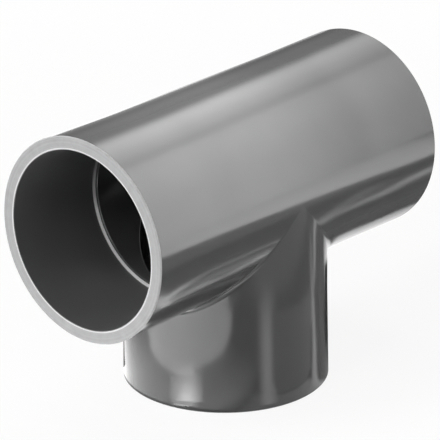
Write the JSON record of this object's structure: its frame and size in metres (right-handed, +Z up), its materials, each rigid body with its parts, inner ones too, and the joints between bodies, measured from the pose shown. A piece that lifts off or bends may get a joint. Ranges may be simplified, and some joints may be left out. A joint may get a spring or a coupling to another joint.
{
  "type": "pipe tee",
  "caption": "Equal 90 degree pipe tee moulded in grey rigid plastic, with plain stepped sockets for solvent-cemented pipe and a blended crotch.",
  "frame": {"origin": "middle of the branch mouth, in the plane that the tee stands on", "axes": "+Z up, from the branch mouth to the run; +X along the run; +Y across, so the XZ plane holds both axes of the tee"},
  "size_m": [0.114, 0.0576, 0.0858],
  "materials": {
    "grey_pvc": "glossy as moulded outside, with finely turned mouth faces"
  },
  "bodies": {
    "root": {"tee_body": "grey_pvc"}
  },
  "joints": []
}
